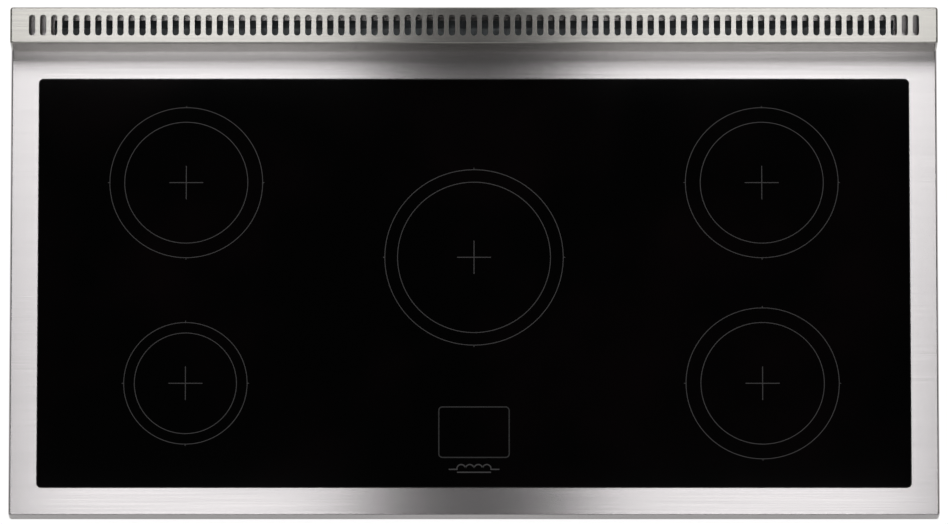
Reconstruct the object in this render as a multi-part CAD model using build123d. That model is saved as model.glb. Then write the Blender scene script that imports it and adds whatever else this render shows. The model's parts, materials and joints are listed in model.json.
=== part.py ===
"""Five-zone induction hob top of the 110 cm class, as separate pieces in millimetres.

+X runs to the right and +Y to the rear as the cook stands in front, +Z is up. The origin is at
the centre of the footprint, on the underside of the base tray.
"""

import os
from math import cos, radians, sin

from build123d import *

# ---- Overall sizes ----
overall_width = 1092.0        # skirt to skirt, along X
overall_depth = 598.0         # front skirt to the back of the vent grille, along Y
glass_height = 66.0           # underside of the tray to the top of the glass
grille_height = 50.0          # vent grille above the frame
grille_depth = 43.5           # vent grille, front to back

# ---- Steel frame ----
frame_sheet = 1.2
bar_width = 32.5              # steel seen on each side of the glass
frame_proud = 0.6             # frame above the glass
skirt_depth = 28.0
seat_width = 12.0             # flange folded in under the skirt, which rests on the host
outer_corner = 3.0
fold_radius = 2.2             # outside radius of the folded top edges
ledge_width = 9.0             # shelf under the glass
opening_corner = 6.0
seat_hole_radius = 2.25
seat_hole_inset_y = 90.0      # seat holes in from the front and rear

# ---- Glass and seal ----
glass_thickness = 4.0
glass_gap = 1.0               # glass edge to frame, filled by the seal
glass_edge = 0.5              # ground edge
seal_bed = 0.8                # seal under the edge of the glass
seal_recess = 0.5             # seal below the glass top
bed_strip = 8.0               # width of the seal on the shelf

# ---- Vent grille ----
slot_length = 25.0
slot_width = 7.5
slot_pitch = 13.0
slot_end_margin = 26.0        # first slot's centre to the grille's end
grille_flange = 10.0
vent_margin_front = 11.5      # vent opening behind the grille's front face
vent_margin_rear = 6.0
vent_end_margin = 4.0         # vent opening inside the duct's ends

# ---- Base tray and gasket ----
tray_sheet = 0.8
tray_gap = 3.3                # frame's recess to the tray's wall
tray_rim = 12.0
tray_corner = 8.0
gasket_thickness = 1.0
bead_width = 14.0
bead_rise = 3.0
bead_end_margin = 60.0
edge_bead_gap = 8.0           # outer bead's middle beyond the side deck
standoff_radius = 4.0
standoff_height = 6.0
intake_radius = 34.0          # perforated patch under each fan
intake_hole_radius = 2.6
intake_pitch = 8.0
outlet_width = 8.0
outlet_pitch = 14.0
outlet_count = 8              # air slots in each of the three banks
outlet_margin = 5.0           # slot's ends inside the duct's mouth

# ---- Rear duct ----
duct_sheet = 0.8
duct_end_margin = 46.0        # duct's end to the skirt's outside
duct_floor_z = 8.0
duct_rear_gap = 3.0           # duct's rear wall to the skirt's outside
duct_stud_gap = 1.4           # lowered part of the duct to the studs above it
duct_step_depth = 13.7        # lowered front part, which passes under the tray's rim
duct_flange = 7.0
duct_screw_count = 4

# ---- Fastenings ----
stud_radius = 2.0
stud_length = 12.0
stud_hole_radius = 2.3
stud_end_margin = 40.0
studs_along_width = 5
studs_along_depth = 3
grille_studs = 6
nut_flats = 7.0
nut_height = 3.2
nut_flange_radius = 4.6
nut_flange_height = 0.8
nut_bore_radius = 2.1
screw_radius = 1.5
screw_length = 5.0
screw_head_radius = 3.2
screw_head_height = 1.8
screw_head_round = 0.8
cross_width = 0.8
cross_depth = 1.2
screw_hole_radius = 1.6

# ---- Cooking zones: centres from the middle of the glass, and coil radii ----
side_zone_x = 339.0
row_offset = 120.0
centre_zone_offset = 30.5
small_radius = 72.5
medium_radius = 90.0
large_radius = 105.0

# ---- Coil units, from the glass down ----
coil_clearance = 0.3          # mica to glass, and pins to their holes
mica_thickness = 0.6
litz_height = 4.6
litz_width = 3.4
litz_pitch = 4.2
litz_inner_radius = 22.0
litz_edge_margin = 4.0        # outermost turn inside the zone's printed ring
ferrite_thickness = 5.0
ferrite_width = 13.0
ferrite_end_margin = 3.0
ferrite_gap = 1.5             # least gap between neighbouring bars
small_coil_bars = 8
medium_coil_bars = 10
large_coil_bars = 12
carrier_sheet = 1.5
carrier_margin = 3.0          # carrier beyond the zone's radius
carrier_rim_height = 4.0
carrier_rim_wall = 1.2
slit_width = 2.0
slit_margin = 8.0             # slit's end inside the carrier's edge
lug_offset = 6.0              # pin centre outside the carrier's edge
lug_radius = 8.0
pin_radius = 2.0
pin_hole_radius = 2.4
pin_reach = 4.0               # pin above its lug
spring_height = 11.5
spring_span = 40.0
spring_strip = 0.6
spring_strip_width = 9.0
sensor_radius = 5.0
sensor_flange_margin = 3.0    # flange beyond the carrier's hole
sensor_flange_height = 1.5
sensor_hole_radius = 5.6
lug_angles = (90, 210, 330)

# ---- Coil decks ----
deck_sheet = 1.5
side_deck_width = 230.0
deck_margin = 18.0            # centre deck beyond its coil
foot_gap = 6.0                # foot to the tray's wall
leg_width = 30.0
foot_length = 12.0
lead_hole_radius = 12.0

# ---- Boards and their parts ----
board_thickness = 1.6
power_board_width = 190.0
power_board_depth = 250.0
power_board_offset = 58.0     # board centre behind the middle of the glass
board_hole_inset = 6.0
heatsink_width = 60.0
heatsink_clearance = 4.6      # heatsink to the deck above it
heatsink_base = 5.0
heatsink_end_margin = 20.0
fin_count = 9
fin_thickness = 2.0
transistor_width = 16.0
transistor_clearance = 7.6
transistor_thickness = 5.0
transistors_per_board = 4
capacitor_width = 42.0
capacitor_depth = 20.0
capacitor_clearance = 2.6
capacitors_per_board = 5
part_gap = 6.0
choke_radius = 20.0
choke_hole_radius = 9.0
choke_clearance = 10.6
filter_board_width = 140.0
filter_board_depth = 100.0
filter_board_offset = 100.5   # board centre behind the middle of the glass

# ---- Fans ----
fan_size = 92.0
fan_clearance = 8.2           # fan to the deck above it
fan_wall = 1.5
fan_outlet_width = 46.0
fan_offset = 185.0            # fan centre in front of the middle of the glass
fan_intake_radius = 31.0
rotor_radius = 38.0
rotor_gap = 3.2               # rotor above the housing's floor and below its roof
hub_radius = 11.0
hub_wall = 2.0
blade_count = 21
blade_length = 12.0
blade_thickness = 1.0
blade_tilt = 35.0
shaft_radius = 2.0
bearing_clearance = 0.05
bearing_radius = 5.0

# ---- Display ----
window_width = 84.0
window_depth = 61.5
window_from_front = 66.5      # window centre behind the front edge of the opening
holder_wall = 6.0
holder_skin = 2.0
holder_gap = 0.5              # holder to glass
wire_notch_height = 14.0
display_board_gap = 12.0      # glass underside to the display board
digit_width = 22.0
digit_depth = 16.0
digit_height = 9.0
digit_spacing_x = 52.0
digit_spacing_y = 30.0
holder_foot = 12.0

# ---- Terminal block and cord inlet ----
terminal_width = 28.0
terminal_depth = 80.0
terminal_height = 24.0
terminal_count = 5
well_share = 0.25             # screw well's radius as a share of the pitch
way_share = 0.2               # wire way's radius as a share of the pitch
terminal_wall_gap = 14.0
terminal_offset = 150.0       # block centre behind the middle of the glass
inlet_bore_radius = 6.0
inlet_body_radius = 9.5
inlet_fit = 0.1               # bushing in the tray's hole, all round
inlet_flange_radius = 13.0
inlet_flange = 3.0
inlet_length = 14.0
inlet_height = 20.0
inlet_offset = 50.0           # inlet axis behind the middle of the glass

# ---- Wires ----
wire_radius = 1.8
wire_spacing = 4.4
wire_bend = 14.0
wire_overlap = 8.0            # wire's end inside the board's edge
wire_lift = 0.1               # wires above the boards
control_wire_drop = 58.0      # signal wires' crossing run in front of the power boards

# ---- Levels and lines that several pieces share ----
half_width = overall_width / 2
half_depth = overall_depth / 2
frame_top = glass_height + frame_proud
frame_under = frame_top - frame_sheet
frame_bottom = frame_top - skirt_depth
ledge_depth = frame_proud + glass_thickness + seal_bed + frame_sheet
grille_front = half_depth - grille_depth
grille_centre_y = half_depth - grille_depth / 2
opening_width = overall_width - 2 * bar_width
opening_depth = overall_depth - grille_depth - 2 * bar_width
middle_y = -half_depth + bar_width + opening_depth / 2
glass_under = glass_height - glass_thickness
tray_width = opening_width + 2 * (frame_sheet + tray_gap)
tray_depth = opening_depth + 2 * (frame_sheet + tray_gap)
tray_half_width = tray_width / 2 + tray_sheet
tray_rear = middle_y + tray_depth / 2 + tray_sheet
tray_rim_top = frame_under - gasket_thickness
board_bottom = tray_sheet + standoff_height
board_top = board_bottom + board_thickness
coil_top = glass_under - coil_clearance - mica_thickness
coil_bottom = coil_top - litz_height
ferrite_bottom = coil_bottom - ferrite_thickness
carrier_bottom = ferrite_bottom - carrier_sheet
deck_top = carrier_bottom - spring_height
deck_bottom = deck_top - deck_sheet
duct_half = half_width - duct_end_margin
duct_step_z = frame_under - stud_length - duct_stud_gap
fan_height = deck_bottom - tray_sheet - fan_clearance
window_y = middle_y - opening_depth / 2 + window_from_front
fan_y = middle_y - fan_offset
power_board_y = middle_y + power_board_offset
filter_board_y = middle_y + filter_board_offset
sides = {"left": -1, "right": 1}

zones = {
    "front_left": (-side_zone_x, middle_y - row_offset, small_radius),
    "front_right": (side_zone_x, middle_y - row_offset, medium_radius),
    "rear_left": (-side_zone_x, middle_y + row_offset, medium_radius),
    "rear_right": (side_zone_x, middle_y + row_offset, medium_radius),
    "centre": (0.0, middle_y + centre_zone_offset, large_radius),
}


# ---- Shape helpers ----
def block(x_low, x_high, y_low, y_high, z_low, z_high):
    """A box between two opposite corners."""
    box = Box(x_high - x_low, y_high - y_low, z_high - z_low)
    return Pos((x_low + x_high) / 2, (y_low + y_high) / 2, (z_low + z_high) / 2) * box


def centred(width, depth, low, high, x=0.0, y=0.0):
    """A box around a vertical centre line."""
    return block(x - width / 2, x + width / 2, y - depth / 2, y + depth / 2, low, high)


def rounded(width, depth, radius, low, high, y=0.0):
    """A plate with rounded corners, between two levels."""
    return Pos(0, y, low) * extrude(RectangleRounded(width, depth, radius), high - low)


def disc(radius, low, high, x=0.0, y=0.0):
    """A round plate or post between two levels."""
    return Pos(x, y, (low + high) / 2) * Cylinder(radius, high - low)


def ring(outer, inner, low, high, x=0.0, y=0.0):
    """A round tube between two levels."""
    return disc(outer, low, high, x, y) - disc(inner, low, high, x, y)


def group(shapes):
    """Separate solids that share one node."""
    return Compound([solid for shape in shapes for solid in shape.solids()])


def spaced(count, pitch):
    """Evenly spaced places, centred on zero."""
    return [(index - (count - 1) / 2) * pitch for index in range(count)]


def write(name, shape):
    """Save one node."""
    export_step(shape, f"parts/{name}.step")


# ---- Where the fastenings sit ----
def rim_studs():
    """Stud places along the middle of the tray's rim."""
    reach_x = tray_half_width + tray_rim / 2
    reach_y = tray_depth / 2 + tray_sheet + tray_rim / 2
    columns = spaced(studs_along_width, (tray_width - 2 * stud_end_margin) / (studs_along_width - 1))
    rows = spaced(studs_along_depth, (tray_depth - 2 * stud_end_margin) / (studs_along_depth - 1))
    along = [(x, middle_y + side * reach_y) for x in columns for side in (-1, 1)]
    across = [(side * reach_x, middle_y + y) for y in rows for side in (-1, 1)]
    return along + across


def flange_studs():
    """Stud places along the grille's front flange."""
    pitch = (2 * duct_half - stud_end_margin) / (grille_studs - 1)
    y = grille_front + frame_sheet + grille_flange / 2
    return [(x, y) for x in spaced(grille_studs, pitch)]


def board_corners(width, depth, x, y):
    """Screw places in the corners of a board."""
    reach_x = width / 2 - board_hole_inset
    reach_y = depth / 2 - board_hole_inset
    return [(x + i * reach_x, y + j * reach_y) for i in (-1, 1) for j in (-1, 1)]


def board_screws():
    """Screw places of all boards that stand on the tray."""
    found = board_corners(filter_board_width, filter_board_depth, 0.0, filter_board_y)
    for side in sides.values():
        found += board_corners(power_board_width, power_board_depth, side * side_zone_x, power_board_y)
    return found


def intake_holes(x):
    """Hole places in a round patch under one fan, in staggered rows."""
    rows = int(intake_radius / intake_pitch) + 1
    found = []
    for row in range(-rows, rows + 1):
        shift = intake_pitch / 2 if row % 2 else 0.0
        for column in range(-rows, rows + 1):
            across = column * intake_pitch + shift
            along = row * intake_pitch * cos(radians(30))
            if across**2 + along**2 < intake_radius**2:
                found.append((x + across, fan_y + along))
    return found


# ---- Frame, glass and seal ----
def frame_shell():
    """Folded top with its skirt, hollow underneath."""
    outside = rounded(overall_width, overall_depth, outer_corner, frame_bottom, frame_top)
    outside = fillet(outside.faces().sort_by(Axis.Z)[-1].edges(), fold_radius)
    hollow_width = overall_width - 2 * frame_sheet
    hollow_depth = overall_depth - 2 * frame_sheet
    corner = outer_corner - frame_sheet
    hollow = rounded(hollow_width, hollow_depth, corner, frame_bottom, frame_under)
    hollow = fillet(hollow.faces().sort_by(Axis.Z)[-1].edges(), fold_radius - frame_sheet)
    return outside - hollow


def seat_flange():
    """Flange folded in under the front and side skirts, with its mounting holes."""
    reach_x = half_width - frame_sheet
    reach_y = half_depth - frame_sheet
    corner = outer_corner - frame_sheet
    flange = rounded(2 * reach_x, 2 * reach_y, corner, frame_bottom, frame_bottom + frame_sheet)
    inside = block(-reach_x + seat_width, reach_x - seat_width, -reach_y + seat_width, half_depth,
                   0, frame_top)
    flange = flange - inside
    hole_x = reach_x - seat_width / 2
    hole_y = half_depth - seat_hole_inset_y
    holes = [disc(seat_hole_radius, 0, frame_top, i * hole_x, j * hole_y)
             for i in (-1, 1) for j in (-1, 1)]
    return flange - holes


def glass_recess():
    """Wall and shelf folded down from the opening's edge."""
    outer_width = opening_width + 2 * frame_sheet
    outer_depth = opening_depth + 2 * frame_sheet
    low = frame_top - ledge_depth
    wall = rounded(outer_width, outer_depth, opening_corner + frame_sheet, low, frame_top, middle_y)
    wall -= rounded(opening_width, opening_depth, opening_corner, low + frame_sheet, frame_top,
                    middle_y)
    inner_width = opening_width - 2 * ledge_width
    inner_depth = opening_depth - 2 * ledge_width
    return wall - rounded(inner_width, inner_depth, opening_corner, low, frame_top, middle_y)


def hob_frame():
    """Brushed steel frame with its welded studs."""
    frame = frame_shell() - rounded(opening_width, opening_depth, opening_corner, 0,
                                    frame_top + 1, middle_y)
    frame = frame + seat_flange() + glass_recess()
    vent_front = grille_front + vent_margin_front
    vent_rear = half_depth - vent_margin_rear
    vent_half = duct_half - duct_sheet - vent_end_margin
    frame -= block(-vent_half, vent_half, vent_front, vent_rear, frame_bottom, frame_top + 1)
    frame -= [disc(stud_hole_radius, frame_bottom, frame_top + 1, x, y) for x, y in flange_studs()]
    studs = [disc(stud_radius, frame_under - stud_length, frame_under, x, y) for x, y in rim_studs()]
    return frame + studs


def ceramic_glass():
    """Glass ceramic plate with softened edges."""
    width = opening_width - 2 * glass_gap
    depth = opening_depth - 2 * glass_gap
    corner = opening_corner - glass_gap
    plate = rounded(width, depth, corner, glass_under, glass_height, middle_y)
    return chamfer(plate.faces().sort_by(Axis.Z)[-1].edges(), glass_edge)


def glass_seal():
    """Silicone between the glass and the frame."""
    low = frame_top - ledge_depth + frame_sheet
    high = glass_height - seal_recess
    seal = rounded(opening_width, opening_depth, opening_corner, low, high, middle_y)
    seal -= rounded(opening_width - 2 * glass_gap, opening_depth - 2 * glass_gap,
                    opening_corner - glass_gap, glass_under, high, middle_y)
    bed_width = opening_width - 2 * bed_strip
    bed_depth = opening_depth - 2 * bed_strip
    return seal - rounded(bed_width, bed_depth, opening_corner, low, high, middle_y)


# ---- Vent grille and duct ----
def vent_grille():
    """Folded cover along the rear, with air slots in its top."""
    high = frame_top + grille_height
    cover = rounded(overall_width, grille_depth, outer_corner, frame_top, high, grille_centre_y)
    cover = fillet(cover.faces().sort_by(Axis.Z)[-1].edges(), fold_radius)
    corner = outer_corner - frame_sheet
    cover -= rounded(overall_width - 2 * frame_sheet, grille_depth - 2 * frame_sheet, corner,
                     frame_top, high - frame_sheet, grille_centre_y)
    count = int((overall_width - 2 * slot_end_margin) / slot_pitch + 0.5) + 1
    slot = Rot(0, 0, 90) * extrude(SlotOverall(slot_length, slot_width), 4 * frame_sheet)
    low = high - 2 * frame_sheet
    cover -= [Pos(x, grille_centre_y, low) * slot for x in spaced(count, slot_pitch)]
    inside = half_width - frame_sheet
    front = grille_front + frame_sheet
    flange = block(-inside, inside, front, front + grille_flange, frame_top, frame_top + frame_sheet)
    studs = [disc(stud_radius, frame_top - stud_length, frame_top, x, y) for x, y in flange_studs()]
    return cover + flange + studs


def duct_profile(inset):
    """Side view of the duct, as Y and Z, drawn in by the sheet where it is closed."""
    front = tray_rear
    rear = half_depth - duct_rear_gap - inset
    floor = duct_floor_z + inset
    step_y = tray_rear + duct_step_depth + inset
    step_z = duct_step_z - inset
    points = [(front, floor), (rear, floor), (rear, frame_under), (step_y, frame_under),
              (step_y, step_z), (front, step_z)]
    return make_face(Polyline(*[(0, y, z) for y, z in points], close=True))


def rear_air_duct():
    """Trough that leads air from the tray's rear slots up to the grille."""
    outside = extrude(duct_profile(0), duct_half, dir=(1, 0, 0), both=True)
    hollow = extrude(duct_profile(duct_sheet), duct_half - duct_sheet, dir=(1, 0, 0), both=True)
    flange = block(-duct_half, duct_half, tray_rear, tray_rear + duct_sheet,
                   duct_floor_z - duct_flange, duct_floor_z)
    holes = [Pos(x, tray_rear, z) * Rot(90, 0, 0) * Cylinder(screw_hole_radius, 4)
             for x, z in duct_screws()]
    return outside - hollow + flange - holes


def duct_screws():
    """Screw places in the duct's lower flange, as X and Z."""
    return [(x, duct_floor_z - duct_flange / 2) for x in spaced(duct_screw_count, duct_half / 2)]


# ---- Base tray and gasket ----
def tray_beads():
    """Raised stiffening beads between the bays, as centre X, centre Y and length."""
    long_bead = tray_depth - 2 * bead_end_margin
    edge = side_zone_x + side_deck_width / 2 + edge_bead_gap
    inner = (side_zone_x - side_deck_width / 2 + large_radius + deck_margin) / 2
    return [(side * x, middle_y, long_bead) for side in (-1, 1) for x in (edge, inner)]


def bead(length, width, rise):
    """One straight bead with round ends."""
    outline = SlotOverall(length, width, rotation=90)
    return extrude(outline, rise)


def base_tray():
    """Folded tray with rim, beads, board supports, air inlets and outlets."""
    width = tray_width + 2 * tray_sheet
    depth = tray_depth + 2 * tray_sheet
    corner = tray_corner + tray_sheet
    tray = rounded(width, depth, corner, 0, tray_rim_top, middle_y)
    tray += rounded(width + 2 * tray_rim, depth + 2 * tray_rim, corner + tray_rim,
                    tray_rim_top - tray_sheet, tray_rim_top, middle_y)
    tray -= rounded(tray_width, tray_depth, tray_corner, tray_sheet, tray_rim_top, middle_y)
    for x, y, length in tray_beads():
        tray += Pos(x, y, tray_sheet) * bead(length, bead_width, bead_rise)
        tray -= Pos(x, y, 0) * bead(length - 2 * tray_sheet, bead_width - 2 * tray_sheet, bead_rise)
    tray += [disc(standoff_radius, tray_sheet, board_bottom, x, y) for x, y in board_screws()]
    tray -= [disc(screw_hole_radius, 0, board_bottom, x, y) for x, y in board_screws() + foot_screws()]
    tray -= [disc(stud_hole_radius, 0, tray_rim_top, x, y) for x, y in rim_studs()]
    holes = [disc(intake_hole_radius, 0, tray_sheet, x, y)
             for side in sides.values() for x, y in intake_holes(side * side_zone_x)]
    return tray - holes - outlet_slots() - inlet_hole() - duct_screw_holes()


def outlet_slots():
    """Three banks of upright air slots for the tray's rear wall."""
    height = duct_step_z - duct_floor_z - 2 * outlet_margin
    centre_z = (duct_step_z + duct_floor_z) / 2
    slot = extrude(SlotOverall(height, outlet_width, rotation=90), 4 * tray_sheet, both=True)
    upright = Rot(90, 0, 0) * slot
    places = [centre + x for centre in (-side_zone_x, 0.0, side_zone_x)
              for x in spaced(outlet_count, outlet_pitch)]
    return [Pos(x, tray_rear - tray_sheet / 2, centre_z) * upright for x in places]


def inlet_hole():
    """Hole for the cord inlet in the tray's left wall."""
    hole = Rot(0, 90, 0) * Cylinder(inlet_body_radius + inlet_fit, 6 * tray_sheet)
    return [Pos(-tray_half_width, middle_y + inlet_offset, inlet_height) * hole]


def duct_screw_holes():
    """Screw holes for the duct in the tray's rear wall."""
    hole = Rot(90, 0, 0) * Cylinder(screw_hole_radius, 4 * tray_sheet)
    return [Pos(x, tray_rear, z) * hole for x, z in duct_screws()]


def tray_gasket():
    """Foam strip between the tray's rim and the frame."""
    width = tray_width + 2 * tray_sheet
    depth = tray_depth + 2 * tray_sheet
    corner = tray_corner + tray_sheet
    strip = rounded(width + 2 * tray_rim, depth + 2 * tray_rim, corner + tray_rim,
                    tray_rim_top, frame_under, middle_y)
    strip -= rounded(width, depth, corner, tray_rim_top, frame_under, middle_y)
    return strip - [disc(stud_hole_radius, 0, frame_top, x, y) for x, y in rim_studs()]


# ---- Coil decks ----
def deck_layout():
    """Each deck's centre, width, depth and the zones that it carries."""
    side_depth = tray_depth - 2 * (foot_length + foot_gap)
    centre_size = 2 * (large_radius + deck_margin + lug_offset)
    return {
        "left": (-side_zone_x, middle_y, side_deck_width, side_depth, ["front_left", "rear_left"]),
        "centre": (0.0, middle_y + centre_zone_offset, centre_size, centre_size, ["centre"]),
        "right": (side_zone_x, middle_y, side_deck_width, side_depth, ["front_right", "rear_right"]),
    }


def deck_feet(x, y, width, depth):
    """Centres of a deck's four feet, with the side that each points to."""
    reach_x = width / 2 - leg_width / 2
    reach_y = depth / 2 + foot_length / 2
    return [(x + i * reach_x, y + j * reach_y, j) for i in (-1, 1) for j in (-1, 1)]


def foot_screws():
    """Screw places in the decks' feet and the display holder's feet."""
    found = []
    for x, y, width, depth, _ in deck_layout().values():
        found += [(foot_x, foot_y) for foot_x, foot_y, _ in deck_feet(x, y, width, depth)]
    return found + holder_screws()


def lug_points(zone):
    """Guide pin places around one coil."""
    x, y, radius = zones[zone]
    reach = radius + carrier_margin + lug_offset
    return [(x + reach * cos(radians(a)), y + reach * sin(radians(a))) for a in lug_angles]


def deck_leg(x, y, way):
    """One folded leg with its foot."""
    edge = y - way * foot_length / 2
    inner = edge - way * deck_sheet
    tip = edge + way * foot_length
    upright = block(x - leg_width / 2, x + leg_width / 2, min(edge, inner), max(edge, inner),
                    tray_sheet, deck_top)
    foot = block(x - leg_width / 2, x + leg_width / 2, min(inner, tip), max(inner, tip),
                 tray_sheet, tray_sheet + deck_sheet)
    return upright + foot


def coil_deck(x, y, width, depth, carried):
    """Aluminium shelf with legs, guide pins and holes for the coil leads."""
    deck = centred(width, depth, deck_bottom, deck_top, x, y)
    feet = deck_feet(x, y, width, depth)
    deck += [deck_leg(*foot) for foot in feet]
    deck -= [disc(screw_hole_radius, 0, deck_bottom, foot_x, foot_y) for foot_x, foot_y, _ in feet]
    for zone in carried:
        zone_x, zone_y, _ = zones[zone]
        deck -= disc(lead_hole_radius, deck_bottom, deck_top, zone_x, zone_y)
        pin_top = carrier_bottom + carrier_sheet + pin_reach
        deck += [disc(pin_radius, deck_top, pin_top, *point) for point in lug_points(zone)]
    return deck


# ---- Coil units ----
def coil_carrier(zone):
    """Aluminium plate with a low rim and three guide lugs, slit against eddy currents."""
    x, y, radius = zones[zone]
    edge = radius + carrier_margin
    top = carrier_bottom + carrier_sheet
    plate = disc(edge, carrier_bottom, top, x, y)
    plate += [disc(lug_radius, carrier_bottom, top, *point) for point in lug_points(zone)]
    plate += ring(edge, edge - carrier_rim_wall, top, top + carrier_rim_height, x, y)
    plate -= [disc(pin_hole_radius, 0, glass_under, *point) for point in lug_points(zone)]
    plate -= disc(lead_hole_radius, carrier_bottom, top, x, y)
    slit_end = edge - slit_margin
    slit = block(litz_inner_radius, slit_end, -slit_width / 2, slit_width / 2, -1, carrier_sheet + 1)
    count = ferrite_count(radius)
    turns = [360 * (index + 0.5) / count for index in range(count)]
    plate -= [Pos(x, y, carrier_bottom) * Rot(0, 0, turn) * slit for turn in turns]
    return plate


def ferrite_count(radius):
    """Bars round the coil, more on a larger one."""
    if radius < medium_radius:
        return small_coil_bars
    return large_coil_bars if radius > medium_radius else medium_coil_bars


def ferrite_bars(zone):
    """Flat ferrite bars under the winding, laid like spokes."""
    x, y, radius = zones[zone]
    start = litz_inner_radius
    end = radius - ferrite_end_margin
    count = ferrite_count(radius)
    width = min(ferrite_width, 2 * start * sin(radians(180 / count)) - ferrite_gap)
    bar = block(start, end, -width / 2, width / 2, ferrite_bottom, coil_bottom)
    return group([Pos(x, y, 0) * Rot(0, 0, 360 * index / count) * bar for index in range(count)])


def litz_coil(zone):
    """Flat spiral winding, drawn as half circles whose centres alternate so that they join smoothly."""
    x, y, radius = zones[zone]
    step = litz_pitch / 2
    half_turns = int((radius - litz_edge_margin - litz_inner_radius) / step)
    outer, inner = [], []
    for index in range(half_turns):
        centre = (index % 2) * step
        middle = litz_inner_radius + litz_width / 2 + index * step
        start = 0 if index % 2 == 0 else 180
        outer.append(CenterArc((centre, 0), middle + litz_width / 2, start, 180))
        inner.append(CenterArc((centre, 0), middle - litz_width / 2, start, 180))
    ends = [Line(outer[0] @ 0, inner[0] @ 0), Line(outer[-1] @ 1, inner[-1] @ 1)]
    face = make_face(outer + inner + ends)
    return Pos(x, y, coil_bottom) * extrude(face, litz_height)


def mica_disc(zone):
    """Insulating disc on top of the winding, with a hole for the sensor."""
    x, y, radius = zones[zone]
    return ring(radius, sensor_hole_radius, coil_top, coil_top + mica_thickness, x, y)


def temperature_sensor(zone):
    """Sensor post in the middle of the coil, with a flange on the carrier."""
    x, y, _ = zones[zone]
    floor = carrier_bottom + carrier_sheet
    flange = disc(lead_hole_radius + sensor_flange_margin, floor, floor + sensor_flange_height, x, y)
    post = disc(sensor_radius, floor, glass_under - coil_clearance, x, y)
    return flange + post


def bow_spring(x, y, turn):
    """Bent strip that stands on the deck, with its crown under a lug."""
    radius = (spring_span**2 / 4 + spring_height**2) / (2 * spring_height)
    centre_z = carrier_bottom - radius
    outside = Rot(90, 0, 0) * Cylinder(radius, spring_strip_width)
    inside = Rot(90, 0, 0) * Cylinder(radius - spring_strip, 2 * spring_strip_width)
    strip = Pos(0, 0, centre_z) * (outside - inside)
    strip = strip & centred(spring_span, spring_strip_width, deck_top, carrier_bottom)
    strip -= disc(pin_hole_radius, deck_top, carrier_bottom + 1)
    return Pos(x, y, 0) * Rot(0, 0, turn) * strip


def coil_springs(zone):
    """The three bow springs of one coil."""
    points = zip(lug_points(zone), lug_angles)
    return group([bow_spring(x, y, angle + 90) for (x, y), angle in points])


# ---- Boards and what stands on them ----
def circuit_board(width, depth, x, y):
    """Flat board with its corner holes."""
    board = centred(width, depth, board_bottom, board_top, x, y)
    corners = board_corners(width, depth, x, y)
    return board - [disc(screw_hole_radius, 0, board_top, *corner) for corner in corners]


def heatsink_depth():
    """Length of a heatsink along its board."""
    return power_board_depth - 2 * heatsink_end_margin


def heatsink(x):
    """Finned aluminium bar along the board."""
    depth = heatsink_depth()
    sink = centred(heatsink_width, depth, board_top, board_top + heatsink_base, x, power_board_y)
    pitch = (heatsink_width - fin_thickness) / (fin_count - 1)
    top = deck_bottom - heatsink_clearance
    fins = [centred(fin_thickness, depth, board_top, top, x + place, power_board_y)
            for place in spaced(fin_count, pitch)]
    return sink + fins


def power_transistors():
    """Transistors standing against the heatsinks."""
    depth = heatsink_depth()
    offset = heatsink_width / 2 + transistor_thickness / 2
    top = deck_bottom - transistor_clearance
    return group([
        centred(transistor_thickness, transistor_width, board_top, top, side * (side_zone_x - offset),
                power_board_y + place)
        for side in sides.values() for place in spaced(transistors_per_board,
                                                       depth / transistors_per_board)
    ])


def film_capacitors():
    """Box capacitors on the outer side of each heatsink."""
    offset = heatsink_width / 2 + part_gap + capacitor_width / 2
    pitch = capacitor_depth + part_gap
    return group([
        centred(capacitor_width, capacitor_depth, board_top, deck_bottom - capacitor_clearance,
                side * (side_zone_x + offset), power_board_y + place)
        for side in sides.values() for place in spaced(capacitors_per_board, pitch)
    ])


def filter_chokes():
    """Ring chokes on the filter board."""
    high = deck_bottom - choke_clearance
    return group([ring(choke_radius, choke_hole_radius, board_top, high, x, filter_board_y)
                  for x in spaced(2, 2 * choke_radius + part_gap)])


# ---- Fans ----
def fan_housing(x):
    """Blower housing that stands over the tray's inlet holes and blows to the rear."""
    low = tray_sheet
    high = low + fan_height
    shell = centred(fan_size, fan_size, low, high, x, fan_y)
    inside = fan_size - 2 * fan_wall
    shell -= centred(inside, inside, low + fan_wall, high - fan_wall, x, fan_y)
    shell -= disc(fan_intake_radius, low, low + fan_wall, x, fan_y)
    shell -= centred(fan_outlet_width, 4 * fan_wall, low + 2 * fan_wall, high - 2 * fan_wall, x,
                     fan_y + fan_size / 2)
    bearing_low = low + fan_height / 2
    post = disc(bearing_radius, bearing_low, high - fan_wall, x, fan_y)
    bore = disc(shaft_radius + bearing_clearance, bearing_low, high - 2 * fan_wall, x, fan_y)
    return shell + post - bore


def fan_rotor(x):
    """Blower wheel with its shaft, which turns in the housing's bearing."""
    low = tray_sheet + fan_wall + rotor_gap
    top = tray_sheet + fan_height - fan_wall - rotor_gap
    shaft = disc(shaft_radius, low, top, x, fan_y)
    cap = disc(hub_radius, low, low + hub_wall, x, fan_y)
    cup = ring(hub_radius, hub_radius - hub_wall, low, top, x, fan_y)
    back = ring(rotor_radius, hub_radius - hub_wall, top - hub_wall, top, x, fan_y)
    blade = Pos(rotor_radius - blade_length / 2 - 1, 0, (low + top) / 2) * Rot(0, 0, blade_tilt) * Box(
        blade_length, blade_thickness, top - low)
    blades = [Pos(x, fan_y, 0) * Rot(0, 0, 360 * index / blade_count) * blade
              for index in range(blade_count)]
    return shaft + cap + cup + back + blades


# ---- Display ----
def display_level():
    """Underside of the display board."""
    return glass_under - display_board_gap - board_thickness


def holder_screws():
    """Screw places in the display holder's feet."""
    reach = window_width / 2 + holder_wall + holder_foot / 2
    return [(side * reach, window_y) for side in (-1, 1)]


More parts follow.
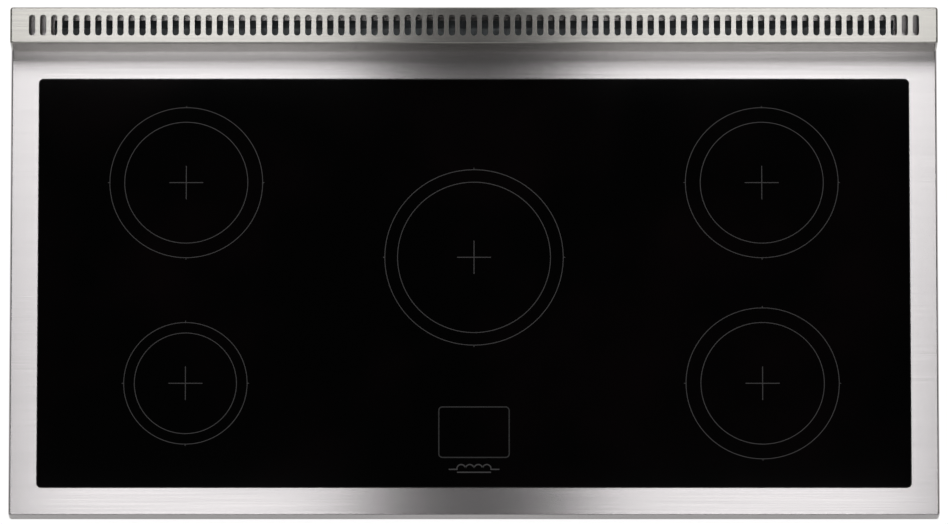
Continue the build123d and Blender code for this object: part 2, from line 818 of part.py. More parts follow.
def display_holder():
    """Black tube that carries the display board and shades it up to the glass."""
    width = window_width + 2 * holder_wall
    depth = window_depth + 2 * holder_wall
    high = glass_under - holder_gap
    holder = centred(width, depth, tray_sheet, high, 0.0, window_y)
    shelf = display_level() + board_thickness
    holder -= centred(width - 2 * holder_skin, depth - 2 * holder_skin, tray_sheet, shelf, 0.0,
                      window_y)
    holder -= centred(window_width, window_depth, tray_sheet, high, 0.0, window_y)
    notch_top = tray_sheet + wire_notch_height
    holder -= centred(window_width / 2, 2 * depth, tray_sheet, notch_top, 0.0, window_y)
    foot_top = tray_sheet + holder_skin
    feet = [centred(holder_foot, depth / 2, tray_sheet, foot_top, *point) for point in holder_screws()]
    holder += feet
    return holder - [disc(screw_hole_radius, 0, foot_top, *point) for point in holder_screws()]


def display_board():
    """Display board with one digit block for each zone, laid out like the zones."""
    low = display_level()
    width = window_width + 2 * (holder_wall - holder_skin)
    depth = window_depth + 2 * (holder_wall - holder_skin)
    board = centred(width, depth, low, low + board_thickness, 0.0, window_y)
    high = low + board_thickness
    places = [(x, y) for x in spaced(2, digit_spacing_x) for y in spaced(2, digit_spacing_y)]
    digits = [centred(digit_width, digit_depth, high, high + digit_height, x, window_y + y)
              for x, y in [*places, (0.0, 0.0)]]
    return board + digits


# ---- Mains connection ----
def terminal_block():
    """Five-way block with screw wells on top and wire ways at the side."""
    x = -tray_half_width + terminal_wall_gap + terminal_width / 2
    y = middle_y + terminal_offset
    body = centred(terminal_width, terminal_depth, tray_sheet, tray_sheet + terminal_height, x, y)
    pitch = terminal_depth / terminal_count
    rows = [y + place for place in spaced(terminal_count, pitch)]
    wells = [disc(pitch * well_share, tray_sheet + terminal_height / 2, terminal_height + 2, x, row)
             for row in rows]
    way = Rot(0, 90, 0) * Cylinder(pitch * way_share, terminal_width + 2)
    ways = [Pos(x, row, tray_sheet + terminal_height / 3) * way for row in rows]
    return body - wells - ways


def cord_inlet():
    """Bushing that the mains cord enters through."""
    outside = -tray_half_width - inlet_flange
    length = inlet_flange + inlet_length
    y = middle_y + inlet_offset
    turned = Rot(0, 90, 0)
    flange = Pos(outside + inlet_flange / 2, y, inlet_height) * turned * Cylinder(
        inlet_flange_radius, inlet_flange)
    body = Pos(outside + length / 2, y, inlet_height) * turned * Cylinder(inlet_body_radius, length)
    bore = Pos(outside + length / 2, y, inlet_height) * turned * Cylinder(inlet_bore_radius, length)
    return flange + body - bore


# ---- Wires held inside ----
def wire(points):
    """Round wire along straight runs joined by tangent arcs."""
    if len(points) == 2:
        path = Line(*points)
    else:
        path = FilletPolyline(*points, radius=wire_bend)
    start = Plane(origin=path @ 0, z_dir=path % 0)
    return sweep(start * Circle(wire_radius), path=path)


def mains_wires(level):
    """Three wires from the terminal block, along the tray's rear, to the filter board."""
    side = -tray_half_width + terminal_wall_gap + terminal_width
    pitch = terminal_depth / terminal_count
    last_row = middle_y + terminal_offset + (terminal_count - 1) / 2 * pitch
    rear = tray_rear - tray_sheet - wire_spacing
    board_end = filter_board_y + filter_board_depth / 2 - wire_overlap
    found = []
    for index in range(3):
        shift = index * wire_spacing
        row = last_row - index * pitch
        lane_x = side + wire_spacing + shift
        found.append(wire([(lane_x, row, level), (lane_x, rear - shift, level),
                           (-shift, rear - shift, level), (-shift, board_end, level)]))
    return found


def supply_wires():
    """Mains wires to the filter board, and from there a pair to each power board."""
    level = board_top + wire_radius + wire_lift
    start = filter_board_width / 2 - wire_overlap
    end = side_zone_x - power_board_width / 2 + wire_overlap
    pairs = [wire([(side * start, filter_board_y + shift, level),
                   (side * end, filter_board_y + shift, level)])
             for side in sides.values() for shift in spaced(2, wire_spacing)]
    return group(mains_wires(level) + pairs)


def control_wires():
    """One signal wire from each power board's front edge to the display board."""
    level = board_top + wire_radius + wire_lift
    front = power_board_y - power_board_depth / 2
    start_x = side_zone_x - power_board_width / 2 + 2 * wire_overlap
    end_x = window_width / 4 - wire_spacing
    cross_y = front - control_wire_drop
    found = [wire([(side * start_x, front + wire_overlap, level), (side * start_x, cross_y, level),
                   (side * end_x, cross_y, level), (side * end_x, window_y, level),
                   (side * end_x, window_y, display_level())])
             for side in sides.values()]
    return group(found)


# ---- Fasteners ----
def flange_nut(x, y, top):
    """M4 nut whose flange bears upwards."""
    low = top - nut_flange_height - nut_height
    body = Pos(x, y, low) * extrude(RegularPolygon(nut_flats / 2, 6, major_radius=False), nut_height)
    flange = disc(nut_flange_radius, top - nut_flange_height, top, x, y)
    return body + flange - disc(nut_bore_radius, low, top, x, y)


def frame_nuts():
    """Nuts that hold the tray and the grille to the frame."""
    under_rim = [flange_nut(x, y, tray_rim_top - tray_sheet) for x, y in rim_studs()]
    under_frame = [flange_nut(x, y, frame_under) for x, y in flange_studs()]
    return group(under_rim + under_frame)


def tapping_screw():
    """Pan head screw with its point down and the head's underside at zero."""
    head = disc(screw_head_radius, 0, screw_head_height)
    head = fillet(head.faces().sort_by(Axis.Z)[-1].edges(), screw_head_round)
    arm = screw_head_radius
    cross = Box(arm, cross_width, cross_depth) + Box(cross_width, arm, cross_depth)
    return head + disc(screw_radius, -screw_length, 0) - Pos(0, 0, screw_head_height) * cross


def tapping_screws():
    """Screws of the boards, the decks' and holder's feet, and the duct."""
    screw = tapping_screw()
    short = screw - centred(4, 4, -screw_length - 1, -deck_sheet - tray_sheet)
    found = [Pos(x, y, board_top) * screw for x, y in board_screws()]
    for x, y, width, depth, _ in deck_layout().values():
        places = deck_feet(x, y, width, depth)
        found += [Pos(foot_x, foot_y, tray_sheet + deck_sheet) * short
                  for foot_x, foot_y, _ in places]
    found += [Pos(x, y, tray_sheet + holder_skin) * short for x, y in holder_screws()]
    found += [Pos(x, tray_rear + duct_sheet, z) * Rot(-90, 0, 0) * short for x, z in duct_screws()]
    return group(found)


# ---- Write every node ----
os.makedirs("parts", exist_ok=True)

write("ceramic_glass", ceramic_glass())
write("glass_seal", glass_seal())
write("hob_frame", hob_frame())
write("vent_grille", vent_grille())
write("rear_air_duct", rear_air_duct())
write("base_tray", base_tray())
write("tray_gasket", tray_gasket())

for deck_name, layout in deck_layout().items():
    write(f"{deck_name}_coil_deck", coil_deck(*layout))

for zone_name in zones:
    write(f"{zone_name}_coil_carrier", coil_carrier(zone_name))
    write(f"{zone_name}_ferrite_bars", ferrite_bars(zone_name))
    write(f"{zone_name}_litz_coil", litz_coil(zone_name))
    write(f"{zone_name}_mica_disc", mica_disc(zone_name))
    write(f"{zone_name}_temperature_sensor", temperature_sensor(zone_name))
    write(f"{zone_name}_bow_springs", coil_springs(zone_name))

for side_name, side_sign in sides.items():
    side_x = side_sign * side_zone_x
    board = circuit_board(power_board_width, power_board_depth, side_x, power_board_y)
    write(f"{side_name}_power_board", board)
    write(f"{side_name}_heatsink", heatsink(side_x))
    write(f"{side_name}_fan_housing", fan_housing(side_x))
    write(f"{side_name}_fan_rotor", fan_rotor(side_x))

write("power_transistors", power_transistors())
write("film_capacitors", film_capacitors())
write("filter_board", circuit_board(filter_board_width, filter_board_depth, 0.0, filter_board_y))
write("filter_chokes", filter_chokes())
write("terminal_block", terminal_block())
write("cord_inlet", cord_inlet())
write("display_board", display_board())
write("display_holder", display_holder())
write("supply_wires", supply_wires())
write("control_wires", control_wires())
write("frame_nuts", frame_nuts())
write("tapping_screws", tapping_screws())
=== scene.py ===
# %% [markdown]
# # A five-zone induction hob top
# The hob is a sheet of black glass ceramic held in a brushed steel frame, with a slotted vent
# grille along its rear. The engineering model already has every piece at its real size and place,
# so this lesson keeps those shapes, gives each one its real finish, and adds what is only looks:
# the marks that are printed on the glass, and the light of a small studio.

# %% Load the frame and measure it
import json
import math

import bmesh
import bpy
from mathutils import Matrix, Vector


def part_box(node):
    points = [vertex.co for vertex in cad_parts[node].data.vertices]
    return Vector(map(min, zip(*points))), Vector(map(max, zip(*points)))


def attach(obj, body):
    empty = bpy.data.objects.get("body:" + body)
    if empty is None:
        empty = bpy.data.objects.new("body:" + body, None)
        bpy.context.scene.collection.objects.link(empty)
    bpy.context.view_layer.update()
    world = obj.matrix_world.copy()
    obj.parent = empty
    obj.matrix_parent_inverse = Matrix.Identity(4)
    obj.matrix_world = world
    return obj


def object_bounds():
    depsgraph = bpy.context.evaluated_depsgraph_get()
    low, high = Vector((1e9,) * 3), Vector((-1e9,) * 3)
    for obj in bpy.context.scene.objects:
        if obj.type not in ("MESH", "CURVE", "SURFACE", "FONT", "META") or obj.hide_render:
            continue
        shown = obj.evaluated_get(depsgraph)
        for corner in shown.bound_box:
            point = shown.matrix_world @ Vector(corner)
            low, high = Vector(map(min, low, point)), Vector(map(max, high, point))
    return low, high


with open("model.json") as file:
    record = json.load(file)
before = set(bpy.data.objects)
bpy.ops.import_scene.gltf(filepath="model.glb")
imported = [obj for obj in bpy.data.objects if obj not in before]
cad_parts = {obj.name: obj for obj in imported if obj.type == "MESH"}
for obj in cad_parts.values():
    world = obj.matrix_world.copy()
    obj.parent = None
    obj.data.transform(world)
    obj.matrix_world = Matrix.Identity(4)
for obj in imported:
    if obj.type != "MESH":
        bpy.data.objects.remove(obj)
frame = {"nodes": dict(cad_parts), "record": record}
nodes = frame["nodes"]
cad_low, cad_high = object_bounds()
hob_size = cad_high - cad_low
print("hob, mm:", [round(side * 1000, 1) for side in hob_size])

# %% [markdown]
# ## Measures in millimetres
# Makers of hobs think in millimetres and Blender thinks in metres, so one value turns one into the
# other. The top face of the glass is where the printed marks will lie.

# %% Find the glass
mm = 0.001
glass_low, glass_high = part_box("ceramic_glass")
frame_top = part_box("hob_frame")[1].z
glass_top = glass_high.z
print("glass, mm:", [round(side * 1000, 1) for side in glass_high - glass_low])

# %% [markdown]
# ## Colour and node helpers
# A colour is given as an sRGB hex code, but a shader wants linear light, so one function turns the
# first into the second. A second function adds a shader node with its settings and its links in one
# line, which keeps each material short enough to read as a recipe.


# %% Colour from a hex code
def linear(hex_code):
    """Linear red, green, blue and alpha of an sRGB hex colour such as C8C4C6."""
    channels = [int(hex_code[place:place + 2], 16) / 255 for place in (0, 2, 4)]
    curve = [value / 12.92 if value <= 0.04045 else ((value + 0.055) / 1.055) ** 2.4
             for value in channels]
    return (*curve, 1.0)


# %% One node with its settings and links
def add(tree, kind, inputs=None, **settings):
    """Adds a node. An input is a value, or an output socket of another node to link from."""
    node = tree.nodes.new("ShaderNode" + kind)
    for name, value in settings.items():
        setattr(node, name, value)
    for name, value in (inputs or {}).items():
        if isinstance(value, bpy.types.NodeSocket):
            tree.links.new(value, node.inputs[name])
        else:
            node.inputs[name].default_value = value
    return node


# %% An empty material with its shader
def start(name, **values):
    """A new material and its Principled shader, with the values that are the same all over."""
    material = bpy.data.materials.new(name)
    material.use_nodes = True
    tree = material.node_tree
    tree.nodes.clear()
    sockets = {key.replace("_", " "): value for key, value in values.items()}
    shader = add(tree, "BsdfPrincipled", sockets)
    output = add(tree, "OutputMaterial")
    tree.links.new(shader.outputs["BSDF"], output.inputs["Surface"])
    return material, tree, shader


# %% A place on the piece, measured in grains of a real size
def grains(tree, size_mm):
    """Object coordinates divided by the pattern's real size along X, Y and Z."""
    place = add(tree, "TexCoord")
    scale = [1 / (side * mm) for side in size_mm]
    return add(tree, "Mapping", {"Vector": place.outputs["Object"], "Scale": scale}).outputs["Vector"]


# %% [markdown]
# ## Brushed stainless steel
# The frame and the grille are 304 stainless sheet, rubbed by a belt along its length. That leaves
# thousands of hair-thin lines, so a light is stretched across them and stays narrow along them.
# An anisotropic metal gives that stretch cheaply, and a noise pulled out along X gives the hairs.
# The real hairs are about 0.2 mm apart. Here they are 1.3 mm, so that a picture can show them.


# %% Brushed stainless
hair_length, hair_gap = 180, 1.3
side_face_share = 0.7


def brushed_stainless(name, dark, pale):
    """Steel sheet whose brush lines run along X, and down the side faces."""
    material, tree, shader = start(name, Metallic=1.0, Anisotropic=1.0)
    place = add(tree, "TexCoord")
    along_x = grains(tree, (hair_length, hair_gap, hair_gap))
    along_z = grains(tree, (hair_gap, hair_gap, hair_length))
    facing = add(tree, "SeparateXYZ", {"Vector": place.outputs["Normal"]})
    sideways = add(tree, "Math", {0: facing.outputs["X"]}, operation="ABSOLUTE")
    on_side = add(tree, "Math", {0: sideways.outputs[0], 1: side_face_share}, operation="GREATER_THAN")
    # A Mix node that is set to vectors takes them at its inputs 4 and 5, and gives output 1.
    hairs_at = add(tree, "Mix", {"Factor": on_side.outputs[0], 4: along_x, 5: along_z},
                   data_type="VECTOR")
    hairs = add(tree, "TexNoise", {"Vector": hairs_at.outputs[1], "Scale": 1.0, "Detail": 3.0})
    clouds = add(tree, "TexNoise", {"Vector": grains(tree, (260, 60, 60)), "Scale": 1.0})
    tone = add(tree, "ValToRGB", {"Fac": hairs.outputs["Fac"]})
    tone.color_ramp.elements[0].position = 0.25
    tone.color_ramp.elements[0].color = linear(dark)
    tone.color_ramp.elements[1].position = 0.75
    tone.color_ramp.elements[1].color = linear(pale)
    tree.links.new(tone.outputs["Color"], shader.inputs["Base Color"])
    rough = add(tree, "MapRange", {"Value": clouds.outputs["Fac"], "To Min": 0.21, "To Max": 0.23})
    tree.links.new(rough.outputs["Result"], shader.inputs["Roughness"])
    bump = add(tree, "Bump", {"Height": hairs.outputs["Fac"], "Strength": 0.05, "Distance": 0.1 * mm})
    tree.links.new(bump.outputs["Normal"], shader.inputs["Normal"])
    across = add(tree, "CombineXYZ", {"X": 0.0, "Y": 1.0, "Z": 0.2})
    tree.links.new(across.outputs["Vector"], shader.inputs["Tangent"])
    return material


frame_steel = brushed_stainless("brushed stainless, frame", "BDBABB", "CDC9CA")
# The grille is the same steel as the frame. Its darker, warmer tones are painted shade.
grille_steel_painted_shade = brushed_stainless("brushed stainless, grille, painted shade", "A6A4A0", "B4B2AD")

# %% [markdown]
# ## Black glass ceramic
# The plate is lithium-aluminosilicate glass ceramic, tinted so deep that it looks black, and fire
# polished. All that the eye gets is the mirror on its face. The tint isn't perfectly even: held to
# the light it is a very dark wine red in places, so a slow noise moves between two near-blacks.


# %% Black glass
def black_glass():
    material, tree, shader = start("black glass ceramic", IOR=1.53)
    cloud = add(tree, "TexNoise", {"Vector": grains(tree, (140, 140, 140)), "Scale": 1.0,
                                   "Detail": 2.0})
    tint = add(tree, "ValToRGB", {"Fac": cloud.outputs["Fac"]})
    tint.color_ramp.elements[0].position = 0.45
    tint.color_ramp.elements[0].color = linear("020202")
    tint.color_ramp.elements[1].position = 0.8
    tint.color_ramp.elements[1].color = linear("0A0506")
    tree.links.new(tint.outputs["Color"], shader.inputs["Base Color"])
    polish = add(tree, "MapRange", {"Value": cloud.outputs["Fac"], "To Min": 0.03, "To Max": 0.05})
    tree.links.new(polish.outputs["Result"], shader.inputs["Roughness"])
    return material


glass = black_glass()

# %% [markdown]
# ## Even materials with a fine grain
# Most other pieces are one stuff all through: moulded plastic, sintered ferrite, rubber, mica, cut
# aluminium. What keeps them from looking like flat paint is a grain of their own size, which moves
# the tone a little, the gloss a little, and the surface by a few hundredths of a millimetre. One
# recipe serves them all, with the two tones and the grain's real size given for each.


# %% Grainy stuff
def grainy(name, dark, pale, grain_mm, roughness, metallic=0.0, relief_mm=0.02):
    """An even material whose tone, gloss and surface vary with a grain of a real size."""
    material, tree, shader = start(name, Metallic=metallic)
    size = grain_mm if isinstance(grain_mm, tuple) else (grain_mm,) * 3
    noise = add(tree, "TexNoise", {"Vector": grains(tree, size), "Scale": 1.0, "Detail": 4.0})
    tone = add(tree, "ValToRGB", {"Fac": noise.outputs["Fac"]})
    tone.color_ramp.elements[0].position = 0.3
    tone.color_ramp.elements[0].color = linear(dark)
    tone.color_ramp.elements[1].position = 0.7
    tone.color_ramp.elements[1].color = linear(pale)
    tree.links.new(tone.outputs["Color"], shader.inputs["Base Color"])
    gloss = add(tree, "MapRange", {"Value": noise.outputs["Fac"], "To Min": roughness * 0.85,
                                   "To Max": roughness * 1.15})
    tree.links.new(gloss.outputs["Result"], shader.inputs["Roughness"])
    bump = add(tree, "Bump", {"Height": noise.outputs["Fac"], "Strength": 0.4,
                              "Distance": relief_mm * mm})
    tree.links.new(bump.outputs["Normal"], shader.inputs["Normal"])
    return material


# %% [markdown]
# ## Galvanised sheet
# The tray and the duct are hot-dip galvanised steel. Zinc freezes in flat crystals called spangle,
# 4 to 8 mm across on thin sheet, and each one mirrors the room a little differently. A Voronoi
# pattern has exactly such cells, so each cell's random value sets its tone and its gloss.


# %% Galvanised steel
def galvanised_sheet():
    material, tree, shader = start("galvanised steel sheet", Metallic=1.0)
    cells = add(tree, "TexVoronoi", {"Vector": grains(tree, (6, 6, 6)), "Scale": 1.0})
    value = add(tree, "SeparateColor", {"Color": cells.outputs["Color"]})
    tone = add(tree, "ValToRGB", {"Fac": value.outputs["Red"]})
    tone.color_ramp.elements[0].color = linear("8E9396")
    tone.color_ramp.elements[1].color = linear("B4B9BC")
    tree.links.new(tone.outputs["Color"], shader.inputs["Base Color"])
    gloss = add(tree, "MapRange", {"Value": value.outputs["Green"], "To Min": 0.34, "To Max": 0.52})
    tree.links.new(gloss.outputs["Result"], shader.inputs["Roughness"])
    return material


# %% [markdown]
# ## Circuit board
# The boards are glass-epoxy laminate under a green solder mask. Copper tracks under the mask show
# as slightly paler bands. A brick pattern with long thin bricks is close to how tracks run, so it
# sets two greens, and the mask itself stays glossy.


# %% Green board
def circuit_board():
    material, tree, shader = start("green solder mask", IOR=1.5, Roughness=0.3)
    tracks = add(tree, "TexBrick", {
        "Vector": grains(tree, (9, 9, 9)), "Color1": linear("0F4A24"), "Color2": linear("145B2D"),
        "Mortar": linear("2C7A45"), "Scale": 1.0, "Mortar Size": 0.06, "Brick Width": 2.4})
    tree.links.new(tracks.outputs["Color"], shader.inputs["Base Color"])
    return material


# %% [markdown]
# ## Litz winding
# Litz is a rope of hundreds of enamelled copper hairs, pressed flat in the coil. It catches light
# in short slanted strokes, where the twist brings each strand to the top. A wave pattern turned a
# little off the rope's own way paints those strokes into the colour, 1.6 mm apart: a painted
# highlight on each strand's top and painted shade between them, with the same wave as their relief.


# %% Copper litz
def litz_copper():
    material, tree, shader = start("enamelled copper litz", Metallic=0.8)
    strand_relief_and_painted_highlight = add(tree, "TexWave", {"Vector": grains(tree, (10, 10, 10)), "Scale": 2.0,
                                  "Distortion": 2.0}, bands_direction="DIAGONAL")
    # Painted highlight on the strand tops and painted shade between them, in the base colour.
    tone = add(tree, "ValToRGB", {"Fac": strand_relief_and_painted_highlight.outputs["Fac"]})
    tone.color_ramp.elements[0].color = linear("7A3A1C")
    tone.color_ramp.elements[1].color = linear("C9763F")
    tree.links.new(tone.outputs["Color"], shader.inputs["Base Color"])
    gloss = add(tree, "MapRange", {"Value": strand_relief_and_painted_highlight.outputs["Fac"], "To Min": 0.5, "To Max": 0.32})
    tree.links.new(gloss.outputs["Result"], shader.inputs["Roughness"])
    bump = add(tree, "Bump", {"Height": strand_relief_and_painted_highlight.outputs["Fac"], "Strength": 0.5, "Distance": 0.2 * mm})
    tree.links.new(bump.outputs["Normal"], shader.inputs["Normal"])
    return material


# %% [markdown]
# ## Give every piece its finish
# The record says which material slot each node takes, so the finishes are listed once by slot and
# handed out by name. Grain sizes are in millimetres, near the real stuff's or a little coarser.

# %% Finishes by slot
finishes = {
    "brushed_stainless": frame_steel,
    "black_glass_ceramic": glass,
    "black_silicone": grainy("black silicone bead", "060606", "0B0B0B", 3.0, 0.42),
    "galvanised_steel": galvanised_sheet(),
    "grey_foam": grainy("closed-cell foam", "2A2A2C", "3C3C3F", 0.7, 0.9, relief_mm=0.2),
    "aluminium": grainy("mill finish aluminium", "A9ABAD", "C6C8CA", (40, 1.5, 1.5), 0.36, 1.0),
    "ferrite": grainy("sintered ferrite", "17171A", "26262A", 0.5, 0.62),
    "litz_copper": litz_copper(),
    "mica": grainy("pressed mica", "8E836F", "BDB29C", 4.0, 0.4),
    "sensor_ceramic": grainy("white alumina", "D5D0C6", "E6E2DA", 1.0, 0.3),
    "spring_steel": grainy("tempered spring steel", "4A4D58", "6B6C74", 2.0, 0.3, 1.0),
    "green_board": circuit_board(),
    "black_epoxy": grainy("moulded black epoxy", "0C0C0D", "161617", 0.3, 0.5),
    "choke_winding": grainy("enamelled choke wire", "6E3C17", "B56F33", (1.2, 1.2, 12), 0.35, 0.7),
    "capacitor_case": grainy("box capacitor case", "A38A12", "B69B1C", 1.5, 0.3),
    "black_plastic": grainy("glass-filled black nylon", "101011", "1C1C1E", 0.6, 0.55, relief_mm=0.05),
    "terminal_plastic": grainy("pale polyamide", "B9B5A8", "CBC8BC", 0.8, 0.45),
    "wire_insulation": grainy("silicone wire insulation", "18181A", "232326", 1.0, 0.5),
    "zinc_plated_steel": grainy("bright zinc plate", "A3A8AE", "C3C7CB", 1.2, 0.28, 1.0),
}
slot_of = {part["node"]: part["material_slot"] for part in frame["record"]["subparts"]}
for name, piece in nodes.items():
    piece.data.materials.clear()
    piece.data.materials.append(finishes[slot_of[name]])
# The vent grille takes the copy of the steel with painted shade in its tones.
nodes["vent_grille"].data.materials[0] = grille_steel_painted_shade
print(len(nodes), "nodes have", len(finishes), "finishes")

# %% [markdown]
# ## Printed marks
# The rings, crosses and the window's outline are grey ceramic enamel, screen printed and fired on
# the glass. Real enamel is only hundredths of a millimetre thick, so thin solids 0.03 mm high stand
# for it, and stay sharp however close the camera comes. A straight mark is one block of enamel.

# %% Enamel and its sizes
enamel_rise = 0.03 * mm
enamel_low = glass_top
enamel_high = glass_top + enamel_rise
grey_enamel = grainy("grey ceramic enamel", "353334", "3C3A3B", 1.5, 0.5, relief_mm=0.005)
window_enamel = grainy("dim window enamel", "100F10", "141314", 1.5, 0.5, relief_mm=0.005)


# %% Turn a mesh into a finished piece
def finish_piece(name, shape, material):
    """Makes an object of a bmesh, which rides on the hob."""
    bmesh.ops.recalc_face_normals(shape, faces=shape.faces)
    mesh = bpy.data.meshes.new(name)
    shape.to_mesh(mesh)
    shape.free()
    mesh.materials.append(material)
    piece = bpy.data.objects.new(name, mesh)
    bpy.context.scene.collection.objects.link(piece)
    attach(piece, "hob")
    print(name, "has", len(mesh.polygons), "faces")


# %% A printed bar
def bar(shape, x, y, width, depth):
    """A flat block of enamel, centred on a place on the glass."""
    made = bmesh.ops.create_cube(shape, size=1.0)
    size = Matrix.Diagonal((width, depth, enamel_rise, 1.0))
    place = Matrix.Translation((x, y, (enamel_low + enamel_high) / 2))
    bmesh.ops.transform(shape, matrix=place @ size, verts=made["verts"])


# %% [markdown]
# A ring could be a circle with a bevel, but spinning one small rectangle about the zone's middle
# gives a closed ring with an exact line width in a single step. The same spin through half a turn
# makes an arch of the coil symbol.


# %% A printed arc
def arc(shape, x, y, radius, line, turn=2 * math.pi, steps=160):
    """Spins the line's cross-section about a place on the glass."""
    corners = []
    for reach, height in ((-line / 2, enamel_low), (line / 2, enamel_low), (line / 2, enamel_high),
                          (-line / 2, enamel_high)):
        corners.append(shape.verts.new((x + radius + reach, y, height)))
    section = [shape.edges.new((corners[i], corners[(i + 1) % 4])) for i in range(4)]
    whole = turn >= 2 * math.pi
    bmesh.ops.spin(shape, geom=corners + section, cent=(x, y, 0.0), axis=(0.0, 0.0, 1.0), angle=turn,
                   steps=steps, use_merge=whole, use_duplicate=False)
    if not whole:
        open_edges = [edge for edge in shape.edges if edge.is_boundary]
        bmesh.ops.holes_fill(shape, edges=open_edges, sides=4)


# %% [markdown]
# ## Zone marks
# A pan is centred by a small cross, and its smallest and largest base are two rings. Four short
# ticks on the outer ring help to line pans up. The rings follow the coils below them, so each
# zone's centre and size are read from the mica disc that lies on its coil.

# %% Rings, ticks and crosses
ring_line = 0.9 * mm
cross_size = 40 * mm
cross_line = 1.0 * mm
tick_length = 3.6 * mm
ring_steps = {"front_left": 12.5, "front_right": 17.5, "rear_left": 17.5, "rear_right": 17.5,
              "centre": 15.0}
for zone, step_mm in ring_steps.items():
    low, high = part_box(f"{zone}_mica_disc")
    x, y = (low.x + high.x) / 2, (low.y + high.y) / 2
    outer = (high.x - low.x) / 2
    shape = bmesh.new()
    arc(shape, x, y, outer, ring_line)
    arc(shape, x, y, outer - step_mm * mm, ring_line)
    for angle in range(0, 360, 90):
        way_x, way_y = math.cos(math.radians(angle)), math.sin(math.radians(angle))
        reach = outer + ring_line / 2 + tick_length / 4
        width = tick_length / 2 if way_y ** 2 < 0.5 else ring_line
        depth = ring_line if way_y ** 2 < 0.5 else tick_length / 2
        bar(shape, x + way_x * reach, y + way_y * reach, width, depth)
    arm = (cross_size - cross_line) / 2
    offset = (cross_line + arm) / 2
    bar(shape, x, y, cross_line, cross_size)
    bar(shape, x - offset, y, arm, cross_line)
    bar(shape, x + offset, y, arm, cross_line)
    finish_piece(f"{zone}_zone_marks", shape, grey_enamel)

# %% [markdown]
# ## Window outline
# The display shines through the glass inside a faint rounded rectangle. A flat face is given round
# corners by bevelling its four points, inset by the line's width, and the middle is taken out.

# %% Window outline
window_low, window_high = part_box("display_holder")
window_x = (window_low.x + window_high.x) / 2
window_y = (window_low.y + window_high.y) / 2
window_size = Vector((84.0, 61.5, 0.0)) * mm
window_corner = 5 * mm
window_line = 1.4 * mm
shape = bmesh.new()
made = bmesh.ops.create_grid(shape, x_segments=1, y_segments=1, size=0.5)
place = Matrix.Translation((window_x, window_y, enamel_low))
stretch = Matrix.Diagonal((window_size.x, window_size.y, 1.0, 1.0))
bmesh.ops.transform(shape, matrix=place @ stretch, verts=made["verts"])
bmesh.ops.bevel(shape, geom=shape.verts[:], affect="VERTICES", offset=window_corner, segments=8,
                profile=0.5, material=-1)
face = shape.faces[:]
bmesh.ops.inset_individual(shape, faces=face, thickness=window_line)
bmesh.ops.delete(shape, geom=face, context="FACES_ONLY")
risen = bmesh.ops.extrude_face_region(shape, geom=shape.faces[:], use_keep_orig=True)
top = [item for item in risen["geom"] if isinstance(item, bmesh.types.BMVert)]
bmesh.ops.translate(shape, vec=(0.0, 0.0, enamel_rise), verts=top)
finish_piece("window_outline", shape, window_enamel)

# %% [markdown]
# ## Coil symbol
# In front of the window stands the drawing sign for a coil with a core: four arches between two
# leads, over one straight line. It is the general sign for such a coil, so it needs no words.

# %% Coil symbol
symbol_line = 1.5 * mm
arch_radius = 5 * mm
arch_count = 4
lead_length = 9 * mm
symbol_y = glass_low.y + 22.0 * mm
core_drop = 4.2 * mm
shape = bmesh.new()
half_row = arch_count * arch_radius
for index in range(arch_count):
    middle = (2 * index + 1) * arch_radius - half_row
    arc(shape, middle, symbol_y, arch_radius, symbol_line, turn=math.pi, steps=24)
for side in (-1, 1):
    reach = half_row + lead_length / 2
    bar(shape, side * reach, symbol_y - symbol_line / 2, lead_length + symbol_line, symbol_line)
bar(shape, 0.0, symbol_y - core_drop, 2 * half_row, symbol_line)
finish_piece("coil_symbol", shape, grey_enamel)

# %% [markdown]
# ## Studio
# The floor is a plain pale sweep. It glows a little, so that the hob's own shade doesn't grey it. A
# metal shows whatever is round it, and a floor that glows as much for the steel would wash out the
# front of the frame, so the glow that reaches the hob is weaker than the one that is looked at.
# Seen from below the floor lets the camera through, so that the underside can be looked at too.


# %% Floor
glow_on_hob, glow_seen = 0.28, 0.8


def pale_floor():
    material, tree, shader = start("pale floor", Roughness=0.9)
    shader.inputs["Base Color"].default_value = linear("F4F3F1")
    shader.inputs["Emission Color"].default_value = linear("FFFFFF")
    ray = add(tree, "LightPath")
    glow = add(tree, "MapRange", {"Value": ray.outputs["Is Camera Ray"], "To Min": glow_on_hob,
                                  "To Max": glow_seen})
    tree.links.new(glow.outputs["Result"], shader.inputs["Emission Strength"])
    clear = add(tree, "BsdfTransparent")
    side = add(tree, "NewGeometry")
    blend = add(tree, "MixShader", {0: side.outputs["Backfacing"], 1: shader.outputs[0],
                                    2: clear.outputs[0]})
    output = next(node for node in tree.nodes if node.type == "OUTPUT_MATERIAL")
    tree.links.new(blend.outputs[0], output.inputs["Surface"])
    return material


floor_half = 60.0
shape = bmesh.new()
bmesh.ops.create_grid(shape, x_segments=1, y_segments=1, size=floor_half)
floor_mesh = bpy.data.meshes.new("floor")
shape.to_mesh(floor_mesh)
shape.free()
floor_mesh.materials.append(pale_floor())
floor = bpy.data.objects.new("floor", floor_mesh)
floor.location.z = cad_low.z
bpy.context.scene.collection.objects.link(floor)

# %% [markdown]
# The brushed steel shows what is above it: a bright panel on each side, and the dark gap between
# them. The glass must stay black, so nothing bright hangs where its mirror looks. The panels
# therefore stand in front of the hob and behind it, and the steel's stretched mirror finds them.


# %% Soft panels
def panel(name, place, width, depth, power):
    """A soft light panel that faces straight down."""
    light = bpy.data.lights.new(name, "AREA")
    light.shape = "RECTANGLE"
    light.size = width
    light.size_y = depth
    light.energy = power
    lamp = bpy.data.objects.new(name, light)
    lamp.location = place
    lamp.visible_camera = False
    bpy.context.scene.collection.objects.link(lamp)


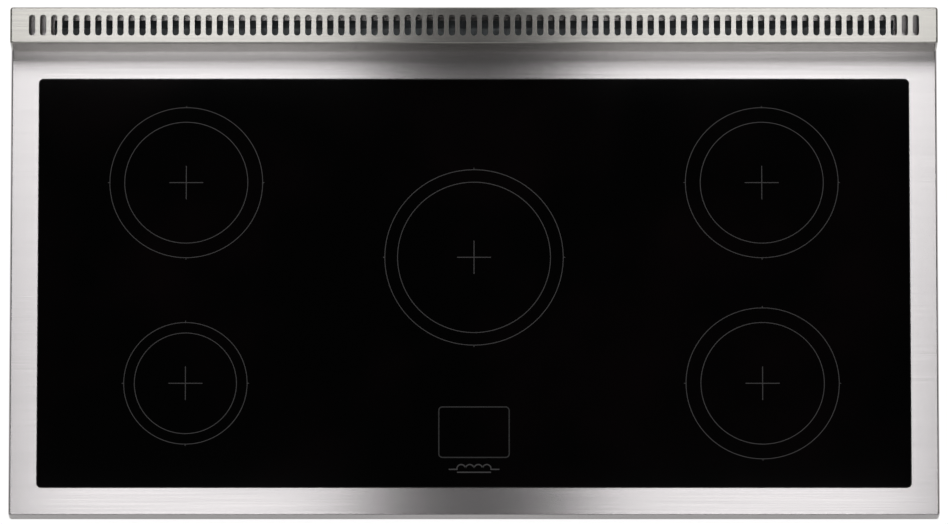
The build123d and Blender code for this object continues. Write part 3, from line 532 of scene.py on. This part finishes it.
panel_height = 3.0
panel_depth = 1.4
rear_gap, front_gap = 0.15, 0.165
rear_width, front_width = 0.63, 0.495
rear_edge, front_edge = 0.85, 0.18
rear_power, front_power = 9.5, 4.8
for name, side in (("left", -1), ("right", 1)):
    rear_place = (side * (rear_gap + rear_width / 2), rear_edge + panel_depth / 2, panel_height)
    front_place = (side * (front_gap + front_width / 2), front_edge - panel_depth / 2, panel_height)
    panel(f"rear {name} panel", rear_place, rear_width, panel_depth, rear_power)
    panel(f"front {name} panel", front_place, front_width, panel_depth, front_power)

# %% [markdown]
# The room is bright near the horizon, which lights the sides of the steel, and nearly dark high
# up, where the glass looks. The camera itself sees one even pale tone.

# %% Room around the studio
bright_under, dark_over = 0.45, 0.86
low_strength, high_strength = 0.55, 0.012
world = bpy.data.worlds.new("studio")
bpy.context.scene.world = world
world.use_nodes = True
room = world.node_tree
room.nodes.clear()
seen = add(room, "LightPath")
way_up = add(room, "SeparateXYZ", {"Vector": add(room, "TexCoord").outputs["Generated"]})
dimmer = add(room, "MapRange", {"Value": way_up.outputs["Z"], "From Min": bright_under,
                                "From Max": dark_over, "To Min": low_strength,
                                "To Max": high_strength})
dim = add(room, "Background", {"Color": linear("FFFFFF"), "Strength": dimmer.outputs["Result"]})
pale = add(room, "Background", {"Color": linear("EDEDEC"), "Strength": 1.0})
either = add(room, "MixShader", {0: seen.outputs["Is Camera Ray"], 1: dim.outputs[0],
                                 2: pale.outputs[0]})
add(room, "OutputWorld", {"Surface": either.outputs[0]})

# %% [markdown]
# ## Camera
# The hob is seen from high above, leaned back a little toward the cook, so that the front of the
# vent grille just shows. A long lens from far away keeps its long edges parallel.

# %% Camera
camera_distance = 14.0
camera_lean = math.radians(10.5)
air_round_hob = 1.0215
seen_width = hob_size.x * air_round_hob
aim_rearward = 3 * mm
far_limit = 100.0
lens_data = bpy.data.cameras.new("camera")
lens_data.sensor_width = 36.0
lens_data.lens = lens_data.sensor_width * camera_distance / seen_width
lens_data.clip_end = far_limit
camera = bpy.data.objects.new("camera", lens_data)
aim = Vector((0.0, (cad_low.y + cad_high.y) / 2 + aim_rearward, frame_top))
back = Vector((0.0, -math.sin(camera_lean), math.cos(camera_lean)))
camera.location = aim + back * camera_distance
camera.rotation_euler = (-back).to_track_quat("-Z", "Y").to_euler()
bpy.context.scene.collection.objects.link(camera)
bpy.context.scene.camera = camera
bpy.context.scene.view_settings.view_transform = "Standard"
